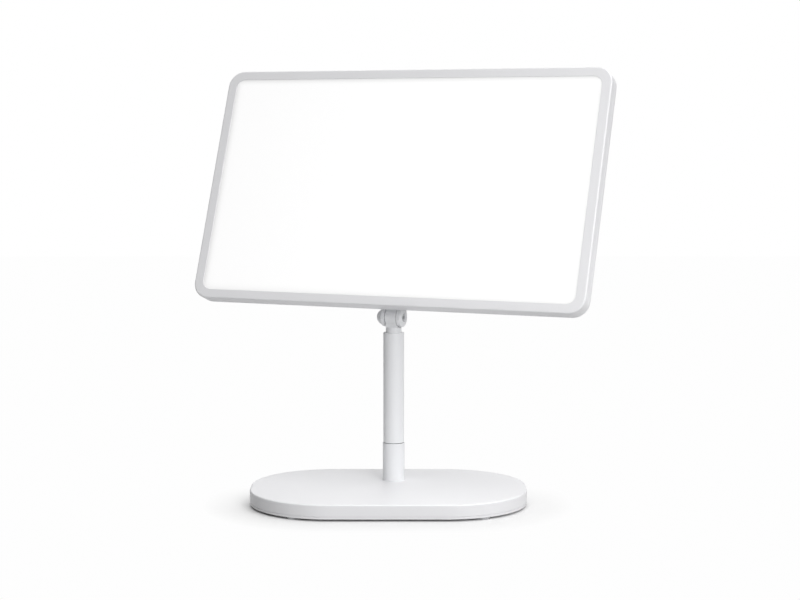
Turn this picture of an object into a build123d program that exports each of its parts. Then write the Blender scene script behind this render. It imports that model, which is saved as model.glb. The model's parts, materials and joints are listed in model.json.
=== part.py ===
from build123d import *
from math import radians, tan
import os

# Light therapy lamp: a large flat light panel on a telescopic post with a weighted base.
# Millimetres. Origin on the table top under the post axis, +Z up, -Y towards the user.

os.makedirs("parts", exist_ok=True)

# Stance: how the lamp is set up
yaw_angle = 23.9            # panel turned about the post, its left edge away from the user
lean_angle = 20.4           # panel leaning back from upright

# Clearances shared by mating pieces
running_gap = 0.05          # radial, a shaft that turns or slides in its bore
fit_gap = 0.15              # beside a piece that drops into its place
seat_gap = 0.3              # between pieces that stop against each other
sheet_gap = 0.3             # round the edges of the optical sheets
past = 1.0                  # how far a cutting shape reaches past the face that it opens

# Base
base_width = 248.0
base_depth = 162.0
base_end_flat = 16.0        # straight part in the middle of each short end
base_shift_x = -4.6         # base centre from the post axis
base_shift_y = -29.4
foot_height = 2.0           # how far the feet stand out below the bottom plate
foot_recess = 1.0
foot_rounding = 0.6
foot_radius = 7.0
foot_reach_x = 81.3         # feet from the base centre
foot_reach_y = 65.5
bottom_plate_thickness = 2.0
cover_height = 10.6
cover_wall = 2.5
cover_edge = 1.3            # rounding of the cover's upper edge
seam_bevel = 0.6            # fine groove where the cover meets the bottom plate
weight_thickness = 5.0
weight_margin = 1.5         # between the weight and the cover's wall
base_screw_reach_x = 72.0
base_screw_reach_y = 42.0
base_screw_middle_y = 68.0
base_boss_radius = 4.5
base_screw_radius = 1.75
base_screw_length = 6.0
base_screw_head_radius = 3.4
base_screw_head_height = 1.5

# Post foot: a sleeve on the base, held by one bolt from below
sleeve_radius = 10.0
sleeve_height = 34.7
sleeve_floor = 10.3         # solid metal above the base, tapped for the bolt
sleeve_rim_rounding = 0.5
flare_radius = 0.5          # small concave flare round the sleeve's foot
flare_lip = 0.2
spigot_radius = 7.0         # locates the sleeve in the cover and the weight
spigot_into_weight = 3.0
post_bolt_radius = 4.0
post_bolt_head_radius = 7.0
post_bolt_head_height = 3.4
post_bolt_head_rounding = 1.0
post_bolt_socket = 6.0
post_bolt_socket_depth = 2.2
post_bolt_grip = 8.5        # thread above the base's top
post_washer_radius = 8.5
post_washer_thickness = 1.0
bolt_access_radius = 11.0
centre_foot_radius = 17.0

# Swivel: the mast turns in a plastic cup in the sleeve
swivel_bush_radius = 8.5
swivel_bush_floor = 1.0
journal_radius = 7.5
thrust_washer_thickness = 0.5
thrust_washer_radius = 9.3
groove_height = 4.4
groove_depth = 1.2
groove_drop = 11.0          # middle of the groove below the sleeve's top
grub_screw_radius = 2.0
grub_socket = 2.0
grub_socket_depth = 2.0

# Mast: outer tube of the telescopic post
mast_radius = 9.5
mast_wall = 1.5
mast_length = 100.9
mast_rim_rounding = 1.0
guide_bush_length = 10.0
guide_bush_recess = 0.6
guide_screw_radius = 1.5
guide_socket = 1.5
guide_socket_depth = 1.5

# Riser: inner rod, rises out of the mast
height_travel = 75.0
rod_radius = 7.15
rod_wall = 1.6
rod_foot_length = 8.0
rod_foot_floor = 1.0
rod_above_rim = 3.2
rod_slot_depth = 1.0
guide_screw_entry = 0.8     # tip of the guide screw inside the rod's slot
knuckle_plug_length = 14.0
collar_height = 1.6

# Tilt hinge
barrel_radius = 8.5
barrel_width = 10.6
barrel_bevel = 0.4
web_depth = 12.4
hinge_washer_thickness = 0.7
hinge_washer_radius = 6.5
ear_gap = 0.05              # between a washer and its ear
ear_thickness = 4.0
ear_rounding = 1.2
pivot_radius = 2.5
pivot_head_radius = 3.8
pivot_head_height = 1.6
pivot_recess_depth = 2.2
pivot_socket = 3.0
pivot_socket_depth = 1.1
cap_nut_radius = 7.2
cap_nut_dome = 6.0

# Panel case
panel_width = 383.0
panel_height = 225.0
panel_thickness = 16.0
panel_corner = 15.0
panel_above_hinge = 1.6     # panel's lower edge above the hinge axis
panel_before_hinge = 20.2   # panel's back in front of the hinge axis
bezel_side = 9.2
bezel_end = 8.6
bezel_thickness = 1.8
window_corner = 8.5
window_bevel = 0.5
window_recess = 0.6         # lit face of the diffuser below the front
frame_wall = 2.2
frame_depth = 10.0          # front frame, from the front to the seam
front_edge_radius = 1.7
back_edge_radius = 1.8
panel_seam_bevel = 0.25
back_floor = 2.0
lip_depth = 2.0             # lip of the back cover inside the frame
lip_wall = 1.2
case_boss_radius = 2.75
case_post_radius = 3.6
case_boss_inset = 4.6       # bosses on the long edges, from the outer wall
case_corner_inset = 7.6     # bosses in the corners, from both outer walls
case_boss_reach = 98.0
case_boss_floor = 1.0       # solid plastic below the screw's hole
case_screw_radius = 1.5
case_screw_length = 9.0
case_screw_head_radius = 2.75
case_screw_head_height = 1.8
vent_width = 2.4
vent_height = 20.0
vent_pitch = 8.0
vent_drop = 30.0            # middle of the upper vents below the panel's top
vent_count = 17
low_vent_rise = 26.0
low_vent_count = 6
low_vent_start = 84.0
rib_thickness = 1.5
rib_places = [-150.0, -110.0, 110.0, 150.0]
rib_margin = 24.0

# Light engine
diffuser_thickness = 2.0
guide_thickness = 3.0
reflector_thickness = 0.4
spreader_thickness = 1.5
led_board_thickness = 1.0
led_board_height = 3.6
led_board_inset = 20.75      # ends of the LED boards from the case's long edges
led_height = 1.4
led_width = 2.6
led_length = 4.0
led_count = 23

# Tilt bracket on the panel's back
bracket_width = 56.0
bracket_height = 44.0
bracket_bottom = 5.0        # above the hinge axis
bracket_corner = 6.0
bracket_thickness = 3.0
bracket_bevel = 0.6
ear_root_height = 27.0
ear_notch_height = 8.0      # below this the ears are round, clear of the panel's lower edge
bracket_screw_reach_x = 20.5
bracket_screw_low = 7.0     # from the bracket's lower edge
bracket_screw_high = 37.0
bracket_screw_radius = 2.0
bracket_screw_length = 7.0
bracket_screw_head_radius = 3.8
bracket_screw_head_height = 2.2
stiffener_thickness = 1.5
stiffener_margin = 3.0

# Control housing on the panel's back
housing_width = 132.0
housing_height = 62.0
housing_depth = 12.0
housing_corner = 10.0
housing_edge = 1.5
housing_wall = 2.0
housing_bottom = 58.0       # above the hinge axis
housing_boss_radius = 3.5
housing_boss_inset = 8.5
housing_screw_radius = 1.25
housing_screw_length = 13.5
housing_screw_head_radius = 2.3
housing_screw_head_height = 1.6
housing_anchor_length = 2.5
board_boss_gap = 2.0        # board's ends from the housing's screw bosses
board_wall_gap = 4.0        # board's long edges from the housing's wall
board_thickness = 1.6
board_corner = 2.0
board_standoff = 1.0
standoff_radius = 3.0
board_screw_inset = 4.0
board_screw_radius = 1.1
board_screw_length = 4.2
board_screw_head_radius = 2.1
board_screw_head_height = 1.3

# Push buttons, their switches and the power inlet
button_radius = 6.5
button_gap = 0.1            # beside a button in its hole
button_spacing = 22.0
button_above_middle = 8.0
button_proud = 1.2
button_travel = 0.8
button_dish = 0.4
button_edge = 0.4
button_flange = 1.2
button_flange_thickness = 1.2
button_stem_radius = 1.4
button_stem_entry = 0.6     # stem inside the switch at rest
switch_size = 6.0
switch_height = 3.6
switch_well_radius = 1.7
jack_width = 9.0
jack_height = 7.0
jack_length = 11.0
jack_bore_radius = 2.8
jack_bore_depth = 9.0
jack_pin_radius = 1.0
jack_pin_recess = 1.0
jack_from_board_end = 16.0
inlet_radius = 4.0
component_rise = 12.5       # coil, capacitor and chip above the board's lower edge
coil_from_board_end = 26.0
coil_radius = 6.5
coil_height = 5.5
capacitor_from_board_end = 39.0
capacitor_radius = 4.0
capacitor_height = 6.5
socket_width = 6.0
socket_height = 5.0
socket_depth = 4.0
chip_x = 9.0
chip_width = 9.0
chip_depth = 7.0
chip_height = 1.6

# Leads from the driver board to the LED boards
lead_radius = 1.0
lead_hole_radius = 2.2
lead_exit = 6.0             # lead hole past the end of the driver board
lead_notch = 1.8            # half the width of the notches that the leads pass through
lead_notch_gap = 1.7        # between a lead and the end of its notch
lead_end_run = 12.0         # from the last bend to the LED board
bend_share = 0.45           # share of the shorter run that a bend takes
lead_sway = 2.5             # how far the leads wander up and down in the case
lead_stretch = 40.0         # between the bends of a lead

# Screw heads: they stand a little below the faces around them, and the rest are shares of the head
head_drop = 0.2
head_rounding = 0.4
cross_depth = 0.65
cross_reach = 0.55
cross_half_width = 0.13

# Heights along the post
plate_bottom = foot_height
plate_top = plate_bottom + bottom_plate_thickness
base_top = plate_top + cover_height
weight_top = base_top - cover_wall
weight_bottom = weight_top - weight_thickness
washer_bottom = weight_bottom - post_washer_thickness
sleeve_top = base_top + sleeve_height
bush_bottom = base_top + sleeve_floor
groove_middle = sleeve_top - groove_drop
mast_bottom = sleeve_top + thrust_washer_thickness
mast_top = mast_bottom + mast_length
mast_bore = mast_radius - mast_wall
guide_top = mast_top - guide_bush_recess
guide_bottom = guide_top - guide_bush_length
guide_middle = (guide_top + guide_bottom) / 2
rod_foot_top = guide_bottom - seat_gap - height_travel
rod_foot_bottom = rod_foot_top - rod_foot_length
rod_top = mast_top + rod_above_rim
rod_bore = rod_radius - rod_wall
collar_top = rod_top + collar_height
hinge_height = collar_top + seat_gap + barrel_radius
ear_inside = barrel_width / 2 + hinge_washer_thickness + ear_gap
ear_outside = ear_inside + ear_thickness

# Panel layers along Y, in the panel's own frame: origin on the hinge axis, +Z up the panel
back_y = -panel_before_hinge
front_y = back_y - panel_thickness
seam_y = front_y + frame_depth
diffuser_y = front_y + bezel_thickness
guide_y = diffuser_y + diffuser_thickness
reflector_y = guide_y + guide_thickness
spreader_y = reflector_y + reflector_thickness
spreader_back_y = spreader_y + spreader_thickness
inner_back_y = back_y - back_floor
bracket_y = back_y + bracket_thickness
housing_y = back_y + housing_depth
housing_inner_y = housing_y - housing_wall
board_y = back_y + board_standoff
board_back_y = board_y + board_thickness
switch_top_y = board_back_y + switch_height
panel_middle = panel_above_hinge + panel_height / 2
led_board_length = panel_height - 2 * led_board_inset
bracket_middle = bracket_bottom + bracket_height / 2
housing_middle = housing_bottom + housing_height / 2
board_width = housing_width - 2 * (housing_boss_inset + housing_boss_radius + board_boss_gap)
board_height = housing_height - 2 * (housing_wall + board_wall_gap)
lead_hole_x = board_width / 2 + lead_exit
jack_reach_x = board_width / 2 - jack_from_board_end
coil_x = coil_from_board_end - board_width / 2
capacitor_x = capacitor_from_board_end - board_width / 2
component_height = housing_middle - board_height / 2 + component_rise
button_height = housing_middle + button_above_middle
lead_height = button_height
jack_axis_y = board_back_y + jack_height / 2
case_screw_seat = back_y - case_screw_head_height - head_drop
housing_screw_seat = housing_y - housing_screw_head_height - head_drop
button_places = {
    "power_button": -button_spacing,
    "brightness_button": 0.0,
    "timer_button": button_spacing,
}

# Half sizes inside the case
case_half_x = panel_width / 2 - frame_wall
case_half_z = panel_height / 2 - frame_wall
led_face_x = case_half_x - led_board_thickness
guide_half_x = led_face_x - led_height - sheet_gap
spreader_half_x = case_half_x - fit_gap - lip_wall - sheet_gap
spreader_half_z = case_half_z - fit_gap - lip_wall - sheet_gap

yaw_place = Rot(0, 0, -yaw_angle)
panel_place = Pos(0, 0, hinge_height) * yaw_place * Rot(-lean_angle, 0, 0)


def disc(radius, bottom, top, x=0.0, y=0.0):
    return Pos(x, y, (bottom + top) / 2) * Cylinder(radius, top - bottom)


def ring(outer, inner, bottom, top, x=0.0, y=0.0):
    return disc(outer, bottom, top, x, y) - disc(inner, bottom - past, top + past, x, y)


def rod_y(radius, near, far, x=0.0, z=0.0):
    return Pos(x, (near + far) / 2, z) * Rot(90, 0, 0) * Cylinder(radius, far - near)


def rod_x(radius, left, right, y=0.0, z=0.0):
    return Pos((left + right) / 2, y, z) * Rot(0, 90, 0) * Cylinder(radius, right - left)


def block(x0, x1, y0, y1, z0, z1):
    return Pos((x0 + x1) / 2, (y0 + y1) / 2, (z0 + z1) / 2) * Box(x1 - x0, y1 - y0, z1 - z0)


def slab(outline, near, far, z=0.0, x=0.0):
    # An outline drawn as seen from the front, with its thickness along Y
    plane = Plane(origin=(x, far, z), x_dir=(1, 0, 0), z_dir=(0, -1, 0))
    return extrude(plane * outline, far - near)


def panel_slab(inset_x, inset_z, corner, near, far):
    outline = RectangleRounded(panel_width - 2 * inset_x, panel_height - 2 * inset_z, corner)
    return slab(outline, near, far, panel_middle)


def front_edges(part):
    return part.faces().sort_by(Axis.Y)[0].outer_wire().edges()


def back_edges(part):
    return part.faces().sort_by(Axis.Y)[-1].outer_wire().edges()


def hex_prism(across_flats, length):
    return extrude(RegularPolygon(across_flats / 2, 6, major_radius=False), length)


def hex_socket_y(across_flats, mouth, depth, x=0.0, z=0.0):
    # Hexagonal recess open towards +Y
    return Pos(x, mouth + past, z) * Rot(90, 0, 0) * hex_prism(across_flats, depth + past)


def pan_screw(shank, length, head, head_height, seat, x, z):
    # Screw along Y with its head behind the seat, and a cross recess
    body = rod_y(head, seat, seat + head_height, x, z)
    body = fillet(back_edges(body), head_height * head_rounding)
    body += rod_y(shank, seat - length, seat, x, z)
    top = seat + head_height
    floor = top - head_height * cross_depth
    arm = head * cross_reach
    slot = head * cross_half_width
    cross = block(x - arm, x + arm, floor, top + past, z - slot, z + slot)
    cross += block(x - slot, x + slot, floor, top + past, z - arm, z + arm)
    return body - cross


def save(part, name):
    solids = part.solids()
    print(name, len(solids), round(sum(solid.volume for solid in solids), 1))
    whole = solids[0] if len(solids) == 1 else Compound(children=list(solids))
    export_step(whole, f"parts/{name}.step")


def group(parts):
    return Compound(children=[solid for part in parts for solid in part.solids()])


# Base

def base_slab(inset, bottom, top):
    corner = (base_depth - base_end_flat) / 2 - inset
    outline = RectangleRounded(base_width - 2 * inset, base_depth - 2 * inset, corner)
    return Pos(base_shift_x, base_shift_y, bottom) * extrude(outline, top - bottom)


def foot_spots():
    return [(base_shift_x + sx * foot_reach_x, base_shift_y + sy * foot_reach_y)
            for sx in (-1, 1) for sy in (-1, 1)]


def base_screw_spots():
    corners = [(base_shift_x + sx * base_screw_reach_x, base_shift_y + sy * base_screw_reach_y)
               for sx in (-1, 1) for sy in (-1, 1)]
    middles = [(base_shift_x, base_shift_y + sy * base_screw_middle_y) for sy in (-1, 1)]
    return corners + middles


def base_cover():
    body = base_slab(0, plate_top, base_top)
    body = fillet(body.faces().sort_by(Axis.Z)[-1].outer_wire().edges(), cover_edge)
    body = chamfer(body.faces().sort_by(Axis.Z)[0].outer_wire().edges(), seam_bevel)
    body -= base_slab(cover_wall, plate_top - past, weight_top)
    body -= disc(spigot_radius + fit_gap, weight_top - past, base_top + past)
    for x, y in base_screw_spots():
        body += disc(base_boss_radius, plate_top, weight_top, x, y)
        body -= disc(base_screw_radius, plate_top - past, plate_top + base_screw_length, x, y)
    return body


def base_weight():
    body = base_slab(cover_wall + weight_margin, weight_bottom, weight_top)
    body -= disc(post_bolt_radius + fit_gap, weight_bottom - past, weight_top + past)
    body -= disc(spigot_radius + fit_gap, weight_top - spigot_into_weight - seat_gap, weight_top + past)
    for x, y in base_screw_spots():
        body -= disc(base_boss_radius + seat_gap, weight_bottom - past, weight_top + past, x, y)
    return body


def bottom_plate():
    body = base_slab(0, plate_bottom, plate_top)
    body -= disc(bolt_access_radius, plate_bottom - past, plate_top + past)
    body -= ring(centre_foot_radius, bolt_access_radius, plate_bottom - past, plate_bottom + foot_recess)
    for x, y in foot_spots():
        body -= disc(foot_radius, plate_bottom - past, plate_bottom + foot_recess, x, y)
    for x, y in base_screw_spots():
        body -= disc(base_screw_radius + fit_gap, plate_bottom - past, plate_top + past, x, y)
    return body


def feet():
    pads = []
    for x, y in foot_spots():
        pad = disc(foot_radius, 0, plate_bottom + foot_recess, x, y)
        pads.append(fillet(pad.faces().sort_by(Axis.Z)[0].edges(), foot_rounding))
    return group(pads)


def centre_foot():
    return ring(centre_foot_radius, bolt_access_radius, 0, plate_bottom + foot_recess)


def base_screws():
    screws = []
    for x, y in base_screw_spots():
        head = disc(base_screw_head_radius, plate_bottom - base_screw_head_height, plate_bottom, x, y)
        head = fillet(head.faces().sort_by(Axis.Z)[0].edges(), base_screw_head_height * head_rounding)
        shank = disc(base_screw_radius, plate_bottom, plate_bottom + base_screw_length, x, y)
        screws.append(head + shank)
    return group(screws)


def post_sleeve():
    body = disc(sleeve_radius, base_top, sleeve_top)
    body = fillet(body.faces().sort_by(Axis.Z)[-1].edges(), sleeve_rim_rounding)
    inner = sleeve_radius - flare_lip
    outer = sleeve_radius + flare_radius
    flare_top = flare_lip + flare_radius
    outline = Polyline((inner, 0), (outer, 0), (outer, flare_lip))
    outline += CenterArc((outer, flare_top), flare_radius, -90, -90)
    outline += Polyline((sleeve_radius, flare_top), (inner, flare_top), (inner, 0))
    body += Pos(0, 0, base_top) * revolve(Plane.XZ * make_face(outline), Axis.Z)
    body += disc(spigot_radius, weight_top - spigot_into_weight, base_top)
    body -= disc(swivel_bush_radius, bush_bottom, sleeve_top + past)
    body -= disc(post_bolt_radius, weight_bottom, base_top + post_bolt_grip + seat_gap)
    body -= rod_y(grub_screw_radius, 0, sleeve_radius + past, 0, groove_middle)
    return body


def post_bolt():
    head_bottom = washer_bottom - post_bolt_head_height
    body = disc(post_bolt_head_radius, head_bottom, washer_bottom)
    body = fillet(body.faces().sort_by(Axis.Z)[0].edges(), post_bolt_head_rounding)
    body += disc(post_bolt_radius, washer_bottom, base_top + post_bolt_grip)
    socket = hex_prism(post_bolt_socket, post_bolt_socket_depth + past)
    return body - Pos(0, 0, head_bottom - past) * socket


def post_washer():
    return ring(post_washer_radius, post_bolt_radius + fit_gap, washer_bottom, weight_bottom)


def swivel_bush():
    body = disc(swivel_bush_radius, bush_bottom, sleeve_top - sleeve_rim_rounding)
    body -= disc(journal_radius + running_gap, bush_bottom + swivel_bush_floor, sleeve_top + past)
    body -= rod_y(grub_screw_radius + fit_gap, 0, sleeve_radius, 0, groove_middle)
    return body


def swivel_grub_screw():
    tip = journal_radius - groove_depth + seat_gap
    end = sleeve_radius - fit_gap
    body = rod_y(grub_screw_radius, tip, end, 0, groove_middle)
    return body - hex_socket_y(grub_socket, end, grub_socket_depth, 0, groove_middle)


def thrust_washer():
    return ring(thrust_washer_radius, journal_radius + fit_gap, sleeve_top, mast_bottom)


# Mast

def swivel_spigot():
    body = disc(journal_radius, bush_bottom + swivel_bush_floor + seat_gap, mast_bottom)
    body += disc(mast_bore, mast_bottom, rod_foot_bottom - seat_gap)
    body -= ring(journal_radius + past, journal_radius - groove_depth,
                 groove_middle - groove_height / 2, groove_middle + groove_height / 2)
    return body


def mast_tube():
    body = disc(mast_radius, mast_bottom, mast_top)
    body = fillet(body.faces().sort_by(Axis.Z)[-1].edges(), mast_rim_rounding)
    body -= disc(mast_bore, mast_bottom - past, mast_top + past)
    return body - yaw_place * rod_y(guide_screw_radius, 0, mast_radius + past, 0, guide_middle)


def guide_bush():
    body = ring(mast_bore, rod_radius + running_gap, guide_bottom, guide_top)
    return body - yaw_place * rod_y(guide_screw_radius + fit_gap, 0, mast_radius, 0, guide_middle)


def guide_screw():
    end = mast_radius - fit_gap
    body = rod_y(guide_screw_radius, rod_radius - guide_screw_entry, end, 0, guide_middle)
    return yaw_place * (body - hex_socket_y(guide_socket, end, guide_socket_depth, 0, guide_middle))


# Riser

def riser_rod():
    body = ring(rod_radius, rod_bore, rod_foot_bottom + rod_foot_floor, rod_top)
    half = guide_screw_radius + fit_gap
    slot = block(-half, half, rod_radius - rod_slot_depth, rod_radius + past,
                 guide_middle - height_travel - half - seat_gap, guide_middle + half + seat_gap)
    return body - yaw_place * slot


def rod_foot():
    body = disc(mast_bore - running_gap, rod_foot_bottom, rod_foot_top)
    return body - disc(rod_radius, rod_foot_bottom + rod_foot_floor, rod_foot_top + past)


def knuckle():
    half = barrel_width / 2
    barrel = rod_x(barrel_radius, -half, half)
    barrel = chamfer(barrel.edges().filter_by(GeomType.CIRCLE), barrel_bevel)
    web = block(-half, half, -web_depth / 2, web_depth / 2, collar_top - hinge_height, 0)
    plug_bottom = rod_top - knuckle_plug_length - hinge_height
    collar = disc(rod_radius, rod_top - hinge_height, collar_top - hinge_height)
    body = barrel + web + collar + disc(rod_bore, plug_bottom, rod_top - hinge_height)
    body -= rod_x(pivot_radius + running_gap, -half - past, half + past)
    return Pos(0, 0, hinge_height) * yaw_place * body


def hinge_washers():
    washers = []
    for side in (-1, 1):
        inner = side * barrel_width / 2
        outer = side * (barrel_width / 2 + hinge_washer_thickness)
        left, right = min(inner, outer), max(inner, outer)
        washer = rod_x(hinge_washer_radius, left, right)
        washer -= rod_x(pivot_radius + fit_gap, left - past, right + past)
        washers.append(Pos(0, 0, hinge_height) * yaw_place * washer)
    return group(washers)


# Panel case, modelled in the panel's own frame

def case_boss_spots():
    corner_x = panel_width / 2 - case_corner_inset
    corner_z = panel_height / 2 - case_corner_inset
    edge_z = panel_height / 2 - case_boss_inset
    corners = [(sx * corner_x, panel_middle + sz * corner_z) for sx in (-1, 1) for sz in (-1, 1)]
    edges = [(sx * case_boss_reach, panel_middle + sz * edge_z) for sx in (-1, 1) for sz in (-1, 1)]
    return corners + edges


def clear_of_bosses(sheet, near, far):
    for x, z in case_boss_spots():
        sheet -= rod_y(case_boss_radius + sheet_gap, near - past, far + past, x, z)
    return sheet


def front_frame():
    body = panel_slab(0, 0, panel_corner, front_y, seam_y)
    body = fillet(front_edges(body), front_edge_radius)
    body = chamfer(back_edges(body), panel_seam_bevel)
    body -= panel_slab(frame_wall, frame_wall, panel_corner - frame_wall, diffuser_y, seam_y + past)
    window = panel_slab(bezel_side, bezel_end, window_corner, front_y - past, diffuser_y + past)
    body -= window
    rim = body.faces().filter_by(Plane.XZ).sort_by(Axis.Y)[0].inner_wires()[0].edges()
    body = chamfer(rim, window_bevel)
    for x, z in case_boss_spots():
        body += rod_y(case_boss_radius, diffuser_y, seam_y, x, z)
    for x, z in case_boss_spots():
        body -= rod_y(case_screw_radius, diffuser_y + case_boss_floor, seam_y + past, x, z)
    return body


def diffuser():
    # Sheet behind the frame, with a step that fills the window almost to the front
    inset = frame_wall + sheet_gap
    sheet = panel_slab(inset, inset, panel_corner - inset, diffuser_y, guide_y)
    step = panel_slab(bezel_side + fit_gap, bezel_end + fit_gap, window_corner - fit_gap,
                      front_y + window_recess, diffuser_y)
    return clear_of_bosses(sheet, diffuser_y, guide_y) + step


def inner_sheet(near, far):
    corner = panel_corner - frame_wall - sheet_gap
    outline = RectangleRounded(2 * guide_half_x, 2 * (case_half_z - sheet_gap), corner)
    return clear_of_bosses(slab(outline, near, far, panel_middle), near, far)


def light_guide():
    return inner_sheet(guide_y, reflector_y)


def reflector_sheet():
    return inner_sheet(reflector_y, spreader_y)


def lead_gap(side, near, far):
    # Notch at the side of the case, where a lead turns in towards its LED board
    edge = side * case_half_x
    end = side * (led_face_x - 2 * lead_radius - lead_notch_gap)
    return block(min(edge, end), max(edge, end), near - past, far + past,
                 lead_height - lead_notch, lead_height + lead_notch)


def heat_spreader():
    corner = panel_corner - (case_half_x - spreader_half_x) - frame_wall
    outline = RectangleRounded(2 * spreader_half_x, 2 * spreader_half_z, corner)
    sheet = slab(outline, spreader_y, spreader_back_y, panel_middle)
    sheet = clear_of_bosses(sheet, spreader_y, spreader_back_y)
    for side in (-1, 1):
        sheet -= lead_gap(side, spreader_y, spreader_back_y)
    return sheet


def led_boards():
    boards = []
    for side in (-1, 1):
        wall, face = side * case_half_x, side * led_face_x
        boards.append(block(min(wall, face), max(wall, face), guide_y, guide_y + led_board_height,
                            panel_middle - led_board_length / 2, panel_middle + led_board_length / 2))
    return group(boards)


def leds():
    chips = []
    pitch = led_board_length / led_count
    middle_y = guide_y + guide_thickness / 2
    for side in (-1, 1):
        face, top = side * led_face_x, side * (led_face_x - led_height)
        for number in range(led_count):
            z = panel_middle + (number - (led_count - 1) / 2) * pitch
            chips.append(block(min(face, top), max(face, top), middle_y - led_width / 2,
                               middle_y + led_width / 2, z - led_length / 2, z + led_length / 2))
    return group(chips)


def vent_row(count, first, pitch, z):
    outline = SlotOverall(vent_height, vent_width, rotation=90)
    slots = [slab(outline, inner_back_y - past, back_y + past, z, first + n * pitch) for n in range(count)]
    return Part() + slots


def back_cover():
    body = panel_slab(0, 0, panel_corner, seam_y, back_y)
    body = fillet(back_edges(body), back_edge_radius)
    body = chamfer(front_edges(body), panel_seam_bevel)
    body -= panel_slab(frame_wall, frame_wall, panel_corner - frame_wall, seam_y - past, inner_back_y)
    lip_in = frame_wall + fit_gap + lip_wall
    lip_out = frame_wall + fit_gap
    lip = panel_slab(lip_out, lip_out, panel_corner - lip_out, seam_y - lip_depth, seam_y)
    lip += panel_slab(frame_wall, frame_wall, panel_corner - frame_wall, seam_y, seam_y + lip_depth)
    lip -= panel_slab(lip_in, lip_in, panel_corner - lip_in,
                      seam_y - lip_depth - past, seam_y + lip_depth + past)
    lip = clear_of_bosses(lip, seam_y - lip_depth, seam_y - past)
    for side in (-1, 1):
        lip -= lead_gap(side, seam_y - lip_depth, seam_y + lip_depth)
    body += lip
    for x in rib_places:
        rib = block(x - rib_thickness / 2, x + rib_thickness / 2, spreader_back_y, inner_back_y,
                    panel_above_hinge + rib_margin, panel_above_hinge + panel_height - rib_margin)
        rib -= block(x - rib_thickness, x + rib_thickness, spreader_back_y - past, inner_back_y,
                     lead_height - lead_notch - lead_sway, lead_height + lead_notch + lead_sway)
        body += rib
    for x, z in case_boss_spots():
        body += rod_y(case_post_radius, seam_y, back_y - back_edge_radius, x, z)
    for x, z in case_boss_spots():
        body -= rod_y(case_screw_radius + fit_gap, seam_y - past, back_y + past, x, z)
        body -= rod_y(case_screw_head_radius + fit_gap, case_screw_seat, back_y + past, x, z)
    first = -(vent_count - 1) / 2 * vent_pitch
    body -= vent_row(vent_count, first, vent_pitch, panel_above_hinge + panel_height - vent_drop)
    low = panel_above_hinge + low_vent_rise
    body -= vent_row(low_vent_count, low_vent_start, vent_pitch, low)
    body -= vent_row(low_vent_count, -low_vent_start, -vent_pitch, low)
    for x, z in bracket_screw_spots():
        body -= rod_y(bracket_screw_radius + fit_gap, inner_back_y - past, back_y + past, x, z)
    for x, z in board_screw_spots():
        body += rod_y(standoff_radius, back_y, board_y, x, z)
        body -= rod_y(board_screw_radius, inner_back_y - past, board_y + past, x, z)
    for x, z in housing_screw_spots():
        body += rod_y(housing_boss_radius, inner_back_y - housing_anchor_length, inner_back_y, x, z)
        body -= rod_y(housing_screw_radius, inner_back_y - housing_anchor_length - past, back_y + past, x, z)
    for side in (-1, 1):
        body -= rod_y(lead_hole_radius, inner_back_y - past, back_y + past, side * lead_hole_x, lead_height)
    return body


def case_screws():
    return group([pan_screw(case_screw_radius, case_screw_length, case_screw_head_radius,
                            case_screw_head_height, case_screw_seat, x, z) for x, z in case_boss_spots()])


# Tilt bracket

def bracket_screw_spots():
    return [(side * bracket_screw_reach_x, bracket_bottom + rise)
            for side in (-1, 1) for rise in (bracket_screw_low, bracket_screw_high)]


def stiffener_plate():
    near = inner_back_y - stiffener_thickness
    outline = RectangleRounded(bracket_width + 2 * stiffener_margin, bracket_height, bracket_corner)
    plate = slab(outline, near, inner_back_y, bracket_middle + stiffener_margin)
    for x, z in bracket_screw_spots():
        plate -= rod_y(bracket_screw_radius, near - past, inner_back_y + past, x, z)
    return plate


def tilt_bracket():
    outline = RectangleRounded(bracket_width, bracket_height, bracket_corner)
    body = slab(outline, back_y, bracket_y, bracket_middle)
    body = chamfer(back_edges(body), bracket_bevel)
    root = Pos((back_y + bracket_y) / 2, bracket_bottom + ear_root_height / 2) * Rectangle(
        bracket_thickness, ear_root_height)
    notch_low = -barrel_radius - past
    notch_middle = (ear_notch_height + notch_low) / 2
    notch = Pos(-barrel_radius - panel_before_hinge / 2, notch_middle) * Rectangle(
        panel_before_hinge, ear_notch_height - notch_low)
    ear_outline = make_hull(Circle(barrel_radius).edges() + root.edges()) - notch
    for side in (-1, 1):
        start = ear_inside if side > 0 else -ear_outside
        plane = Plane(origin=(start, 0, 0), x_dir=(0, 1, 0), z_dir=(1, 0, 0))
        ear = extrude(plane * ear_outline, ear_thickness)
        outer_face = ear.faces().sort_by(Axis.X)[-1 if side > 0 else 0]
        body += fillet(outer_face.edges(), ear_rounding)
    body -= rod_x(pivot_radius, -ear_outside - past, ear_outside + past)
    body -= rod_x(pivot_head_radius + fit_gap, ear_outside - pivot_recess_depth, ear_outside + past)
    body -= rod_x(pivot_head_radius + fit_gap, -ear_outside - past, -ear_outside + pivot_recess_depth)
    for x, z in bracket_screw_spots():
        body -= rod_y(bracket_screw_radius + fit_gap, back_y - past, bracket_y + past, x, z)
    return body


def bracket_screws():
    return group([pan_screw(bracket_screw_radius, bracket_screw_length, bracket_screw_head_radius,
                            bracket_screw_head_height, bracket_y, x, z) for x, z in bracket_screw_spots()])


def pivot_bolt():
    seat = ear_outside - pivot_recess_depth
    top = seat + pivot_head_height
    head = rod_x(pivot_head_radius, seat, top)
    head = chamfer(head.faces().sort_by(Axis.X)[-1].edges(), barrel_bevel)
    body = head + rod_x(pivot_radius, -ear_outside, seat)
    socket = Rot(0, 90, 0) * hex_prism(pivot_socket, pivot_socket_depth + past)
    return body - Pos(top - pivot_socket_depth, 0, 0) * socket


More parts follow.
